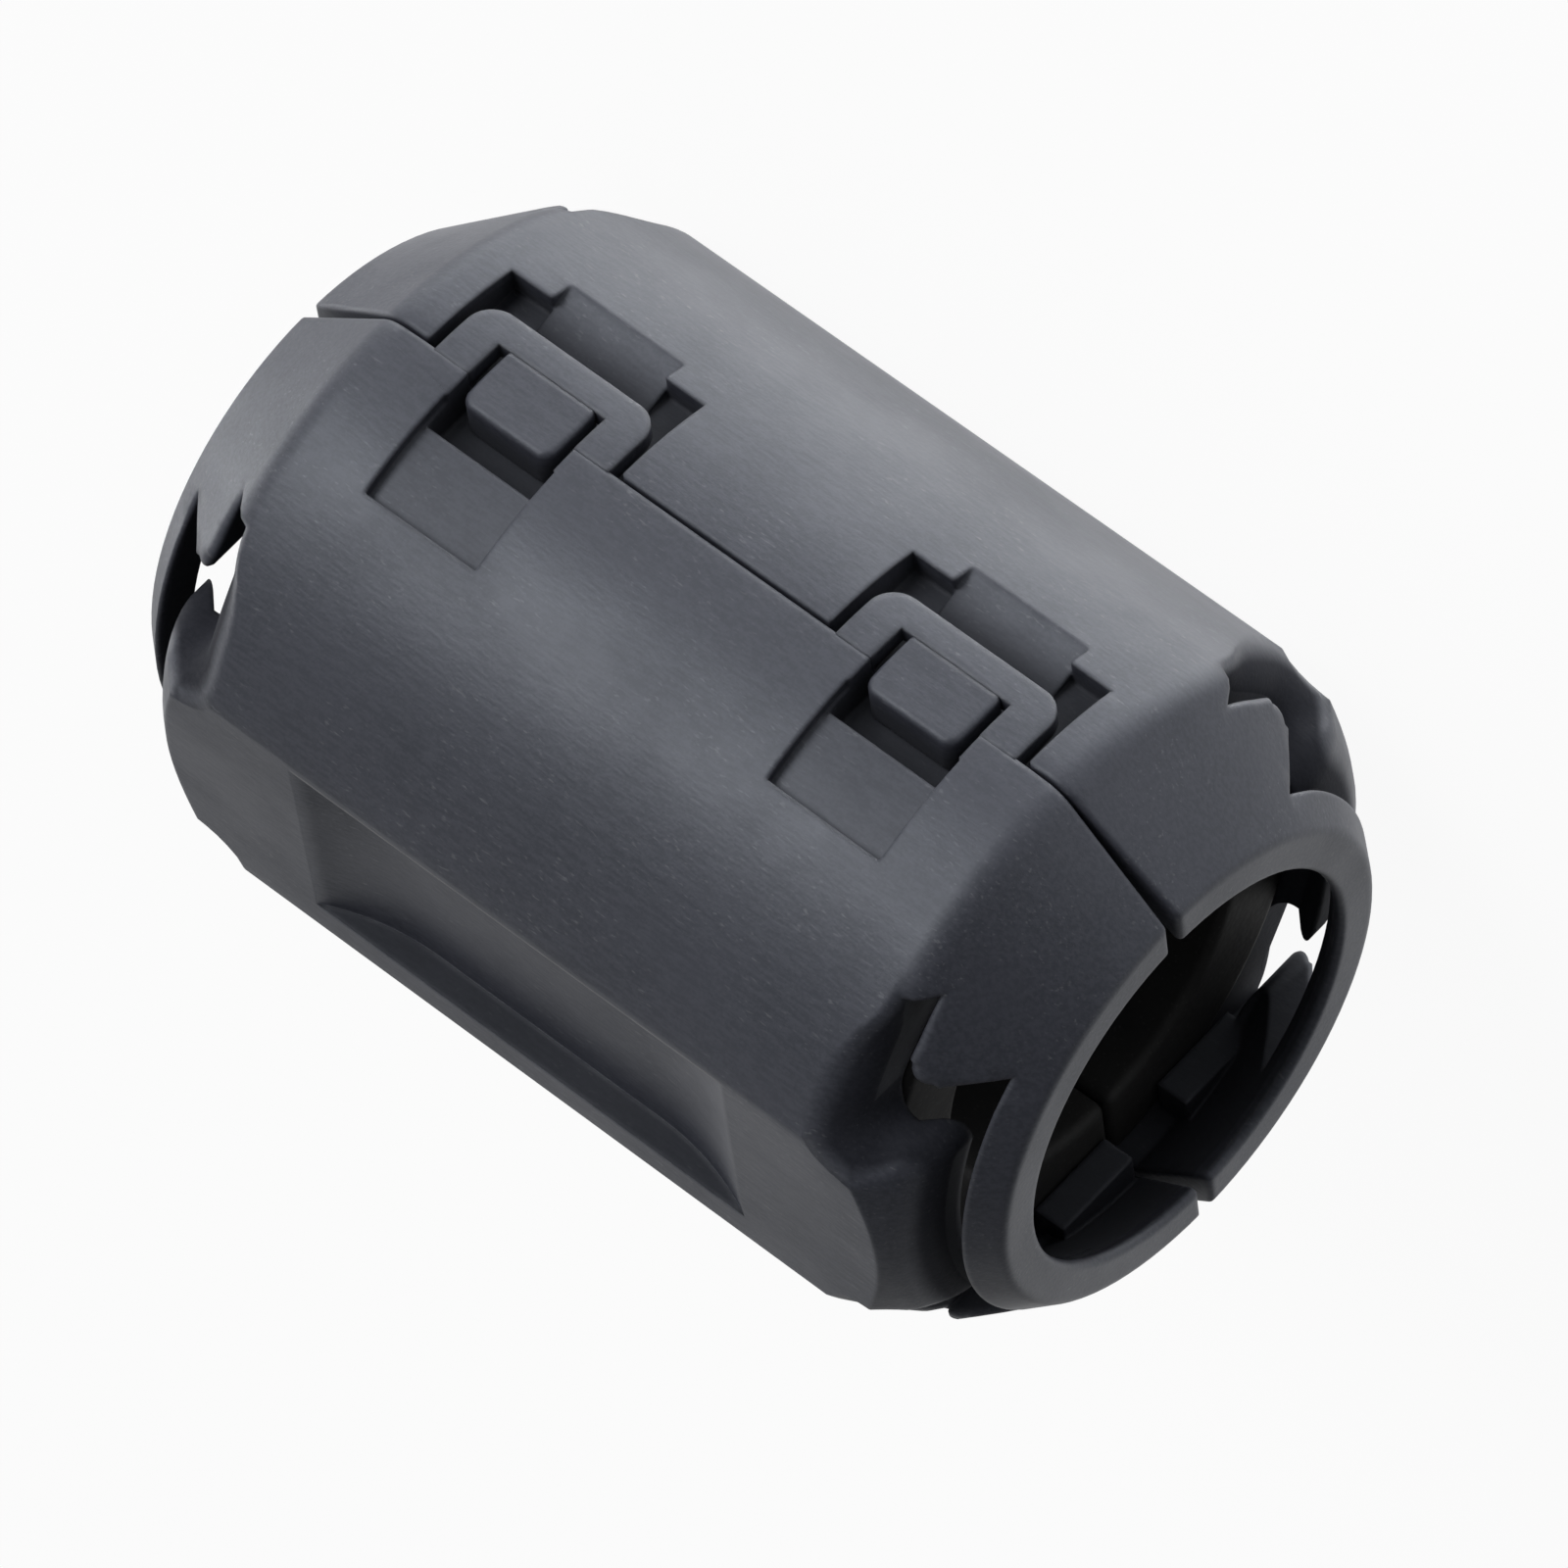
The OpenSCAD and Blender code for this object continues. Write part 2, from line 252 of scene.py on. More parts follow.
def case_edge(x, y, z):
    """Width of the round on an edge of the case; edges of the slots and flats stay true."""
    along, high = abs(x), abs(z)
    from_latch = abs(along - LATCH_X)
    if y < HOOK_FACE and from_latch < HOOK_HALF and HOOK_LOW < z < HOOK_HIGH:
        return 0 if z < CATCH_TOP else HOOK_ROUND
    if y < 0 and from_latch < POCKET_HALF and high < POCKET_HIGH:
        return POCKET_ROUND
    if high < SEAM_HIGH and along < COLLAR_FACE:
        return SEAM_ROUND
    if along > COLLAR_FACE:
        return COLLAR_ROUND
    return 0


def loop_edge(x, y, z):
    """No round on a latch loop: its edges stay true, and its material softens them."""
    return 0


def core_edge(x, y, z):
    """Width of the round on any edge of the core."""
    return CORE_ROUND


def copied(cad_name, name):
    """A merged copy of a CAD node, without the normals that it was loaded with."""
    piece = frame["nodes"][cad_name].copy()
    piece.data = frame["nodes"][cad_name].data.copy()
    piece.name = name
    piece.data.name = name
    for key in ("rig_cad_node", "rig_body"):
        if key in piece:
            del piece[key]
    piece.parent = None
    bpy.context.scene.collection.objects.link(piece)
    pick_alone(piece)
    if piece.data.has_custom_normals:
        bpy.ops.mesh.customdata_custom_splitnormals_clear()
    bpy.ops.object.mode_set(mode="EDIT")
    bpy.ops.mesh.select_all(action="SELECT")
    bpy.ops.mesh.remove_doubles(threshold=MERGE * MM)
    bpy.ops.object.mode_set(mode="OBJECT")
    return piece


def round_edges(piece, width_at, sharp=20, flat=0.5, smooth=34):
    """Rounds each sharp edge by the width that its place asks for; angles are in degrees."""
    pick_alone(piece)
    bpy.ops.object.mode_set(mode="EDIT")
    bpy.ops.mesh.select_all(action="SELECT")
    bpy.ops.mesh.dissolve_limited(angle_limit=math.radians(flat))
    bpy.ops.object.mode_set(mode="OBJECT")
    weights = piece.data.attributes.new("bevel_weight_edge", "FLOAT", "EDGE")
    shape = bmesh.new()
    shape.from_mesh(piece.data)
    for edge in shape.edges:
        if edge.calc_face_angle(0) > math.radians(sharp):
            middle = (edge.verts[0].co + edge.verts[1].co) / (2 * MM)
            weights.data[edge.index].value = width_at(*middle) / WIDEST_ROUND
    shape.free()
    bevel = piece.modifiers.new("edge", "BEVEL")
    bevel.width = WIDEST_ROUND * MM
    bevel.segments = 3
    bevel.limit_method = "WEIGHT"
    bevel.use_clamp_overlap = False
    bevel.miter_outer = "MITER_ARC"
    apply_all(piece)
    shade(piece, smooth)
    lean = piece.modifiers.new("lean", "WEIGHTED_NORMAL")
    lean.keep_sharp = True
    apply_all(piece)


def keep_in_box(piece, cad_name):
    """Draws back the few points that rounding pushed past the CAD node's own box."""
    low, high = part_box(cad_name)
    for vertex in piece.data.vertices:
        vertex.co = Vector(
            min(max(value, low[axis]), high[axis]) for axis, value in enumerate(vertex.co)
        )


def skin_radius(x):
    """Outer radius of the case at a distance from its middle."""
    if x < ROUND_X:
        return BARREL
    if x < CONE_X:
        return BARREL - CONE_ROUND + math.sqrt(CONE_ROUND ** 2 - (x - ROUND_X) ** 2)
    return BARREL - (x - HALF_BARREL) * CONE_SLOPE


def skin_height(x, y):
    """Height of the case's outer skin above the seam."""
    squared = max(skin_radius(abs(x)) ** 2 - y * y, LEAST_HEIGHT ** 2)
    return min(HALF_FLATS, math.sqrt(squared))


def arc_points(centre, radius, start, stop, steps=8):
    """Points on an arc, its angles in degrees."""
    turns = [math.radians(start + (stop - start) * i / steps) for i in range(steps + 1)]
    return [
        (centre[0] + radius * math.cos(turn), centre[1] + radius * math.sin(turn))
        for turn in turns
    ]


def finely(points, step=0.3):
    """A closed path with a point at least every step."""
    path = []
    for index, here in enumerate(points):
        there = points[(index + 1) % len(points)]
        parts = max(1, math.ceil(math.dist(here, there) / step))
        path += [
            (
                here[0] + (there[0] - here[0]) * i / parts,
                here[1] + (there[1] - here[1]) * i / parts,
            )
            for i in range(parts)
        ]
    return path


def slot_path():
    """The edge of the slots at one end, from one tongue round the panel to the other."""
    right = [(GROOVE_END, TONGUE_EDGE)]
    right += arc_points(
        (SLOT_END + TONGUE_RADIUS, TONGUE_EDGE + TONGUE_RADIUS), TONGUE_RADIUS, 270, 180
    )
    right += [(SLOT_END, SLOT_OUTER), (SLOT_START, SLOT_OUTER)]
    right += arc_points(
        (SLOT_START + SLOT_RADIUS, PANEL_EDGE + SLOT_RADIUS), SLOT_RADIUS, 180, 270
    )
    right += arc_points(
        (PANEL_TIP - PANEL_RADIUS, PANEL_EDGE - PANEL_RADIUS), PANEL_RADIUS, 90, 0
    )
    left = [(x, -y) for x, y in reversed(right)]
    return finely(right + left)


def roll_at(x, y):
    """Width of the roll on the edge of a slot, by where the edge lies."""
    across = abs(y)
    if x > GROOVE_END - NEAR_COLLAR:
        return COLLAR_ROLL
    if across < PANEL_EDGE + NEAR_EDGE:
        return PANEL_ROLL
    if across > SLOT_OUTER - NEAR_EDGE:
        return CLOSED_ROLL
    if across > TONGUE_EDGE + PAST_CORNER and x > SLOT_END - NEAR_EDGE:
        return TONGUE_ROLL
    if across > TONGUE_EDGE - NEAR_EDGE and x > SLOT_END + PAST_CORNER:
        return CHANNEL_ROLL
    return BARREL_ROLL * min(1, max(LEAST_SHARE, (SLOT_OUTER - across) / BARREL_TAPER))


def evened(values, reach=3):
    """Values along a closed path, each the mean of its neighbours."""
    count = len(values)
    return [
        sum(values[(i + step) % count] for step in range(-reach, reach + 1)) / (2 * reach + 1)
        for i in range(count)
    ]


def widened(path, amounts):
    """A closed path moved outwards by an amount at each point, corners kept square."""
    moved = []
    for index, (x, y) in enumerate(path):
        before, after = path[index - 1], path[(index + 1) % len(path)]
        first = Vector((y - before[1], before[0] - x)).normalized()
        second = Vector((after[1] - y, x - after[0])).normalized()
        middle = (first + second).normalized()
        reach = amounts[index] / max(middle.dot(first), LEAST_MITRE)
        moved.append((x + middle.x * reach, y + middle.y * reach))
    return moved


def roll_rings(rolls):
    """The cutter's rings from stem to flare: how far out and how deep each point lies."""
    depths = [min(ROLL_DEPTH * roll + ROLL_BASE, DEEPEST_ROLL) for roll in rolls]
    stem = [-STEM_CLEARANCE] * len(rolls)
    rings = [(stem, [depth + STEM_LENGTH for depth in depths]), (stem, depths)]
    for step in range(1, ROLL_STEPS + 1):
        turn = ROLL_TURN * step / ROLL_STEPS
        out = (1 - math.cos(turn)) / (1 - math.cos(ROLL_TURN))
        up = 1 - math.sin(turn) / math.sin(ROLL_TURN)
        rings.append(([roll * out for roll in rolls], [depth * up for depth in depths]))
    rings.append(([roll + FLARE_OUT for roll in rolls], [-FLARE_UP] * len(rolls)))
    return rings


def roll_cutter(name, end, side):
    """A flared plug in the slots of one end, whose flare rolls their outer edges."""
    path = slot_path()
    turning = sum(
        path[i - 1][0] * path[i][1] - path[i][0] * path[i - 1][1] for i in range(len(path))
    )
    if turning < 0:
        path.reverse()
    shape = bmesh.new()
    loops = []
    for amounts, drops in roll_rings(evened([roll_at(x, y) for x, y in path])):
        loops.append([
            shape.verts.new((end * x * MM, y * MM, side * (skin_height(x, y) - drop) * MM))
            for (x, y), drop in zip(widened(path, amounts), drops)
        ])
    loops.append([
        shape.verts.new((vertex.co.x, vertex.co.y, side * CUTTER_TOP * MM))
        for vertex in loops[-1]
    ])
    for low, high in zip(loops, loops[1:]):
        for i in range(len(low)):
            shape.faces.new((low[i - 1], low[i], high[i], high[i - 1]))
    for ring in (loops[0], loops[-1]):
        outline = [Vector((vertex.co.x, vertex.co.y, 0)) for vertex in ring]
        for corners in tessellate_polygon([outline]):
            shape.faces.new([ring[i] for i in corners])
    bmesh.ops.recalc_face_normals(shape, faces=shape.faces)
    data = bpy.data.meshes.new(name)
    shape.to_mesh(data)
    shape.free()
    cutter = bpy.data.objects.new(name, data)
    bpy.context.scene.collection.objects.link(cutter)
    return cutter


def roll_slots(piece, side):
    """Rolls the outer edges of the slots at both ends of one half of the case in one cut."""
    left = roll_cutter("slot_roll_left", -1, side)
    right = roll_cutter("slot_roll_right", 1, side)
    pick_alone(right)
    left.select_set(True)
    bpy.ops.object.join()
    cut = piece.modifiers.new("roll", "BOOLEAN")
    cut.operation = "DIFFERENCE"
    cut.solver = "EXACT"
    cut.use_self = True
    cut.object = right
    apply_all(piece)
    bpy.data.objects.remove(right)


def lengthen_hooks(piece):
    """Brings the hooks up against the bars of the loops that they hold."""
    for vertex in piece.data.vertices:
        x, y, z = vertex.co / MM
        on_hook = abs(abs(x) - LATCH_X) < HOOK_HALF and y < HOOK_ROOT
        if on_hook and abs(z - HOOK_LOW) < CATCH_BAND:
            vertex.co.z -= HOOK_EXTRA * MM


def raise_root(piece):
    """Carries the legs of a loop a little way into the lid that they are moulded to."""
    for vertex in piece.data.vertices:
        if vertex.co.z > LOOP_TOP * MM:
            vertex.co.z += LOOP_ROOT * MM


def case_half(cad_name, name, side):
    """One half of the case, with rolled slots and with rounds on its seam, latches and collars."""
    piece = copied(cad_name, name)
    roll_slots(piece, side)
    round_edges(piece, case_edge)
    keep_in_box(piece, cad_name)
    return piece


def latch_loop(cad_name, name):
    """A latch loop, its legs carried into the lid."""
    piece = copied(cad_name, name)
    round_edges(piece, loop_edge)
    keep_in_box(piece, cad_name)
    raise_root(piece)
    return piece


def core_half(cad_name, name):
    """One half of the ferrite core, with rounded edges."""
    piece = copied(cad_name, name)
    round_edges(piece, core_edge)
    keep_in_box(piece, cad_name)
    return piece


def hinge_strap(name, middle_x):
    """A living hinge strap: one leg, spun half a turn about the hinge line, and the other leg."""
    hinge_y = HINGE_Y * MM
    leg = (HINGE_Y - LEG_START) * MM
    bpy.ops.object.select_all(action="DESELECT")
    bpy.ops.mesh.primitive_plane_add(
        size=1, location=(middle_x, hinge_y - leg / 2, -STRAP_BEND * MM)
    )
    piece = bpy.context.object
    piece.name = name
    piece.data.name = name
    piece.scale = (STRAP_LENGTH * MM, leg, 1)
    bpy.ops.object.transform_apply(location=True, rotation=True, scale=True)
    bpy.ops.object.mode_set(mode="EDIT")
    bpy.ops.mesh.select_mode(type="EDGE")
    bpy.ops.mesh.select_all(action="DESELECT")
    bpy.ops.object.mode_set(mode="OBJECT")
    for edge in piece.data.edges:
        ends = [piece.data.vertices[i].co.y for i in edge.vertices]
        edge.select = min(ends) > hinge_y - leg / 2
    bpy.ops.object.mode_set(mode="EDIT")
    bpy.ops.mesh.spin(
        steps=STRAP_STEPS, angle=-math.pi, center=(middle_x, hinge_y, 0), axis=(1, 0, 0)
    )
    bpy.ops.mesh.extrude_edges_move(TRANSFORM_OT_translate={"value": (0, -leg, 0)})
    bpy.ops.mesh.select_all(action="SELECT")
    bpy.ops.mesh.remove_doubles(threshold=MERGE * MM)
    bpy.ops.mesh.normals_make_consistent(inside=False)
    bpy.ops.object.mode_set(mode="OBJECT")
    wall = piece.modifiers.new("wall", "SOLIDIFY")
    wall.thickness = STRAP_THICKNESS * MM
    wall.offset = 0
    edge = piece.modifiers.new("edge", "BEVEL")
    edge.width = STRAP_ROUND * MM
    edge.segments = 2
    edge.limit_method = "ANGLE"
    edge.angle_limit = math.radians(STRAP_SHARP_DEGREES)
    apply_all(piece)
    shade(piece, STRAP_SHARP_DEGREES)
    return piece


def new_group(name, inputs, outputs):
    """A shader node group with named sockets, and its input and output nodes."""
    group = bpy.data.node_groups.new(name, "ShaderNodeTree")
    for socket, kind, value in inputs:
        made = group.interface.new_socket(socket, in_out="INPUT", socket_type=kind)
        if value is not None:
            made.default_value = value
    for socket, kind in outputs:
        group.interface.new_socket(socket, in_out="OUTPUT", socket_type=kind)
    return group, group.nodes.new("NodeGroupInput"), group.nodes.new("NodeGroupOutput")


def node(tree, kind, **settings):
    """Adds a node and sets its properties."""
    made = tree.nodes.new(kind)
    for key, value in settings.items():
        setattr(made, key, value)
    return made


def join(tree, source, target):
    """Links an output socket to an input socket."""
    tree.links.new(source, target)


def maths(tree, operation, *values):
    """The result of one sum on sockets and plain numbers."""
    made = node(tree, "ShaderNodeMath", operation=operation)
    for socket, value in zip(made.inputs, values):
        if isinstance(value, (int, float)):
            socket.default_value = value
        else:
            join(tree, value, socket)
    return made.outputs["Value"]


def product(tree, first, *others):
    """Masks and plain numbers multiplied together."""
    for other in others:
        first = maths(tree, "MULTIPLY", first, other)
    return first


def sum_of(tree, first, second, share):
    """First plus share times second."""
    return maths(tree, "MULTIPLY_ADD", second, share, first)


def vector_maths(tree, operation, *vectors):
    """The number that one operation makes of vectors."""
    made = node(tree, "ShaderNodeVectorMath", operation=operation)
    for socket, vector in zip(made.inputs, vectors):
        join(tree, vector, socket)
    return made.outputs["Value"]


def split_up(tree, vector):
    """The three parts of a vector."""
    made = node(tree, "ShaderNodeSeparateXYZ")
    join(tree, vector, made.inputs["Vector"])
    return made.outputs


def ramp(tree, source, low, high):
    """A smooth step of a value between two limits."""
    made = node(tree, "ShaderNodeMapRange", interpolation_type="SMOOTHSTEP")
    made.inputs["From Min"].default_value = low
    made.inputs["From Max"].default_value = high
    join(tree, source, made.inputs["Value"])
    return made.outputs["Result"]


def fade(tree, source, limits):
    """A smooth step of a distance between two limits in mm."""
    return ramp(tree, source, limits[0] * MM, limits[1] * MM)


def mapped(tree, source, low, high):
    """A mask turned into a value between two limits."""
    made = node(tree, "ShaderNodeMapRange")
    made.inputs["To Min"].default_value = low
    made.inputs["To Max"].default_value = high
    join(tree, source, made.inputs["Value"])
    return made.outputs["Result"]


def scaled_noise(tree, place, scale, detail, roughness=0.5):
    """Noise on coordinates that are scaled by a different amount along each axis."""
    fit = node(tree, "ShaderNodeMapping")
    fit.inputs["Scale"].default_value = scale
    join(tree, place, fit.inputs["Vector"])
    noise = node(tree, "ShaderNodeTexNoise")
    noise.inputs["Scale"].default_value = 1
    noise.inputs["Detail"].default_value = detail
    noise.inputs["Roughness"].default_value = roughness
    join(tree, fit.outputs["Vector"], noise.inputs["Vector"])
    return noise.outputs["Fac"]


def drawn_grain():
    """Fine grain drawn out along the cable, with light flecks, as polished moulds leave it."""
    tree, given, out = new_group(
        "drawn_grain",
        [("Place", "NodeSocketVector", None)],
        [
            ("Height", "NodeSocketFloat"),
            ("Tone", "NodeSocketFloat"),
            ("Fleck", "NodeSocketFloat"),
        ],
    )
    place = given.outputs["Place"]
    streak = scaled_noise(tree, place, scale=(1500, 6500, 6500), detail=3)
    pores = scaled_noise(tree, place, scale=(8000, 8000, 8000), detail=2)
    both = sum_of(tree, streak, pores, 0.6)
    join(tree, both, out.inputs["Height"])
    join(tree, ramp(tree, both, 0.6, 1.0), out.inputs["Tone"])
    fleck = scaled_noise(tree, place, scale=(2800, 9000, 9000), detail=1)
    patch = scaled_noise(tree, place, scale=(300, 380, 380), detail=1)
    shown = product(tree, ramp(tree, fleck, 0.61, 0.8), ramp(tree, patch, 0.36, 0.6))
    join(tree, shown, out.inputs["Fleck"])
    return tree


def soft_mottle():
    """Slow changes of tone over a few millimetres."""
    tree, given, out = new_group(
        "soft_mottle",
        [("Place", "NodeSocketVector", None)],
        [("Tone", "NodeSocketFloat")],
    )
    slow = scaled_noise(
        tree, given.outputs["Place"], scale=(180, 240, 240), detail=3, roughness=0.6
    )
    join(tree, ramp(tree, slow, 0.3, 0.7), out.inputs["Tone"])
    return tree


def worn_edge():
    """Rounded edge normals, and a mask of the edges that handling has polished or chipped."""
    tree, given, out = new_group(
        "worn_edge",
        [("Place", "NodeSocketVector", None), ("Reach", "NodeSocketFloat", 0.2 * MM)],
        [("Edge", "NodeSocketFloat"), ("Round", "NodeSocketVector")],
    )
    rounded = node(tree, "ShaderNodeBevel", samples=6)
    join(tree, given.outputs["Reach"], rounded.inputs["Radius"])
    surface = node(tree, "ShaderNodeNewGeometry")
    turn = vector_maths(
        tree, "DOT_PRODUCT", rounded.outputs["Normal"], surface.outputs["Normal"]
    )
    away = maths(tree, "SUBTRACT", 1, turn)
    broken = scaled_noise(tree, given.outputs["Place"], scale=(900, 900, 900), detail=3)
    mask = product(tree, ramp(tree, away, 0.01, 0.16), ramp(tree, broken, 0.25, 0.6))
    join(tree, mask, out.inputs["Edge"])
    join(tree, rounded.outputs["Normal"], out.inputs["Round"])
    return tree


def from_axis(tree, parts):
    """The vector from the cable axis to a place."""
    made = node(tree, "ShaderNodeCombineXYZ")
    join(tree, parts["Y"], made.inputs["Y"])
    join(tree, parts["Z"], made.inputs["Z"])
    return made.outputs["Vector"]


def depth_in_case(tree, spoke, along, high):
    """How far a place lies below the skin of the barrel, the cones and the flats, in metres."""
    skin = node(tree, "ShaderNodeMapRange")
    for socket, value in (
        ("From Min", HALF_BARREL),
        ("From Max", HALF_LENGTH),
        ("To Min", BARREL),
        ("To Max", COLLAR),
    ):
        skin.inputs[socket].default_value = value * MM
    join(tree, along, skin.inputs["Value"])
    radius = vector_maths(tree, "LENGTH", spoke)
    in_round = maths(tree, "SUBTRACT", skin.outputs["Result"], radius)
    in_flat = maths(tree, "SUBTRACT", HALF_FLATS * MM, high)
    return maths(tree, "MINIMUM", in_round, in_flat)


def recess_shade_masks():
    """Masks of all recesses with the inside, and of the end slots' outer faces alone. The recess
    mask paints shade into the colour: deeper places, the slot ends and the scoop's wall facing -y
    come out darker.
    """
    tree, given, out = new_group(
        "recess_shade_masks",
        [("Place", "NodeSocketVector", None)],
        [("ShadedRecess", "NodeSocketFloat"), ("Slot", "NodeSocketFloat")],
    )
    parts = split_up(tree, given.outputs["Place"])
    along, across, high = (maths(tree, "ABSOLUTE", parts[axis]) for axis in "XYZ")
    normal = node(tree, "ShaderNodeTexCoord").outputs["Normal"]
    facing = split_up(tree, normal)
    level = maths(tree, "ABSOLUTE", facing["Z"])
    spoke = from_axis(tree, parts)
    depth = depth_in_case(tree, spoke, along, high)
    # Painted shade grows stronger at the end slots.
    at_ends = fade(tree, along, SLOT_FADE)
    deepened = mapped(tree, at_ends, 1, SLOT_DARKENING)
    in_scoop = product(
        tree,
        fade(tree, along, SCOOP_END_FADE),
        fade(tree, across, SCOOP_SIDE_FADE),
        fade(tree, high, SCOOP_TOP_FADE),
    )
    off_seam = maths(tree, "MAXIMUM", ramp(tree, level, 0.98, 0.9), fade(tree, high, SEAM_FADE))
    sunk = product(
        tree,
        fade(tree, product(tree, depth, deepened), DEPTH_FADE),
        maths(tree, "SUBTRACT", 1, in_scoop),
        fade(tree, along, RING_FADE),
        off_seam,
    )
    outside = fade(tree, vector_maths(tree, "DOT_PRODUCT", normal, spoke), OUTSIDE_FADE)
    join(tree, product(tree, sunk, at_ends, outside), out.inputs["Slot"])
    # Painted shade on the scoop's wall that faces -y.
    scoop_wall_shade = product(tree, ramp(tree, facing["Y"], -0.4, -0.8), in_scoop)
    join(tree, maths(tree, "MAXIMUM", sunk, scoop_wall_shade), out.inputs["ShadedRecess"])
    return tree


GRAIN = drawn_grain()
RECESS_SHADE = recess_shade_masks()
MOTTLE = soft_mottle()
EDGE = worn_edge()


def placed_group(tree, group, place):
    """One use of a node group, fed with the piece's own coordinates."""
    made = node(tree, "ShaderNodeGroup")
    made.node_tree = group
    join(tree, place, made.inputs["Place"])
    return made


def mixed_colour(tree, share, first, second):
    """A colour between two others by a mask; each is a colour or a socket."""
    made = node(tree, "ShaderNodeMix", data_type="RGBA")
    join(tree, share, made.inputs["Factor"])
    for socket, value in ((made.inputs[6], first), (made.inputs[7], second)):
        if isinstance(value, tuple):
            socket.default_value = (*value, 1)
        else:
            join(tree, value, socket)
    return made.outputs[2]


def start_material(name):
    """A new material with its node tree, its shader and the piece's own coordinates."""
    made = bpy.data.materials.new(name)
    made.use_nodes = True
    tree = made.node_tree
    shader = tree.nodes["Principled BSDF"]
    place = node(tree, "ShaderNodeTexCoord").outputs["Object"]
    return made, tree, shader, place


def bump(tree, shader, height, strength, depth, surface):
    """Feeds a height over a surface normal into the shader's normal."""
    made = node(tree, "ShaderNodeBump")
    made.inputs["Strength"].default_value = strength
    made.inputs["Distance"].default_value = depth
    join(tree, height, made.inputs["Height"])
    join(tree, surface, made.inputs["Normal"])
    join(tree, made.outputs["Normal"], shader.inputs["Normal"])


def case_plastic(name, reach):
    """Satin charcoal plastic with drawn grain, light flecks and polished edges; painted shade
    darkens its recesses, which are also rougher, and the end slots reflect less.
    """
    made, tree, shader, place = start_material(name)
    grain = placed_group(tree, GRAIN, place).outputs
    tone = placed_group(tree, MOTTLE, place).outputs["Tone"]
    hollow = placed_group(tree, RECESS_SHADE, place).outputs
    edge = placed_group(tree, EDGE, place)
    edge.inputs["Reach"].default_value = reach * MM
    worn = edge.outputs["Edge"]
    colour = mixed_colour(tree, tone, CHARCOAL_DARK, CHARCOAL_PALE)
    # The last mix paints shade into recesses, slot valleys and the scoop's wall.
    for mask, share, added in (
        (grain["Tone"], 0.6, GRAIN_GREY),
        (grain["Fleck"], 0.32, FLECK_GREY),
        (worn, 0.3, WORN_GREY),
        (hollow["ShadedRecess"], 0.7, RECESS_SHADE_BLACK),
    ):
        colour = mixed_colour(tree, product(tree, mask, share), colour, added)
    join(tree, colour, shader.inputs["Base Color"])
    polished = sum_of(tree, mapped(tree, tone, *PLASTIC_ROUGH), worn, EDGE_POLISH)
    rough = sum_of(tree, polished, hollow["ShadedRecess"], RECESS_DULLING)
    join(tree, rough, shader.inputs["Roughness"])
    gloss = mapped(tree, hollow["Slot"], PLASTIC_GLOSS, SLOT_GLOSS)
    join(tree, gloss, shader.inputs["Specular IOR Level"])
    shader.inputs["Specular Tint"].default_value = (*PLASTIC_SHEEN, 1)
    bump(
        tree, shader, grain["Height"], strength=0.35, depth=0.02 * MM,
        surface=edge.outputs["Round"],
    )
    return made


def ferrite():
    """Sintered ferrite: dark grey, matt, with a fine crystalline speckle and chipped edges."""
    made, tree, shader, place = start_material("ferrite")
    tone = placed_group(tree, MOTTLE, place).outputs["Tone"]
    edge = placed_group(tree, EDGE, place)
    edge.inputs["Reach"].default_value = 0.3 * MM
    crystal = node(tree, "ShaderNodeTexVoronoi")
    crystal.inputs["Scale"].default_value = 4200
    join(tree, place, crystal.inputs["Vector"])
    speck = ramp(tree, crystal.outputs["Distance"], 0.28, 0.02)
    colour = mixed_colour(tree, tone, FERRITE_DARK, FERRITE_PALE)
    for mask, share in ((speck, 0.25), (edge.outputs["Edge"], 0.3)):
        colour = mixed_colour(tree, product(tree, mask, share), colour, CRYSTAL_GREY)
    join(tree, colour, shader.inputs["Base Color"])
    join(tree, mapped(tree, tone, *FERRITE_ROUGH), shader.inputs["Roughness"])
    shader.inputs["Specular IOR Level"].default_value = FERRITE_GLOSS
    bump(
        tree, shader, crystal.outputs["Distance"], strength=0.25, depth=0.03 * MM,
        surface=edge.outputs["Round"],
    )
    return made


def dress(piece, material):
    """Gives a piece its only material."""
    piece.data.materials.clear()
    piece.data.materials.append(material)


def mount(piece, cad_name, body_name, material):
    """Dresses a rigid piece and lets it ride on its body in place of its CAD node."""
    dress(piece, material)
    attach(piece, body_name)
    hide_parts(cad_name)


PLASTIC = case_plastic("case_plastic", 0.25)
LOOP_PLASTIC = case_plastic("loop_plastic", 0.35)
FERRITE = ferrite()

lower = case_half("base_case", "case_lower", -1)
lengthen_hooks(lower)
mount(lower, "base_case", "base", PLASTIC)
upper = case_half("lid_case", "case_upper", 1)
mount(upper, "lid_case", "lid", PLASTIC)

for side in ("left", "right"):
    loop = latch_loop("latch_loop_" + side, "loop_" + side)
    mount(loop, "latch_loop_" + side, "loop_" + side, LOOP_PLASTIC)

for level, body_name in (("lower", "base"), ("upper", "lid")):
    core = core_half("core_" + level, "ferrite_" + level)
    mount(core, "core_" + level, body_name, FERRITE)

for side, middle in (("left", -STRAP_X * MM), ("right", STRAP_X * MM)):
    strap = hinge_strap("strap_" + side, middle)
    keep_in_box(strap, "hinge_strap_" + side)
    dress(strap, PLASTIC)
    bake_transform(strap)
    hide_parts("hinge_strap_" + side)


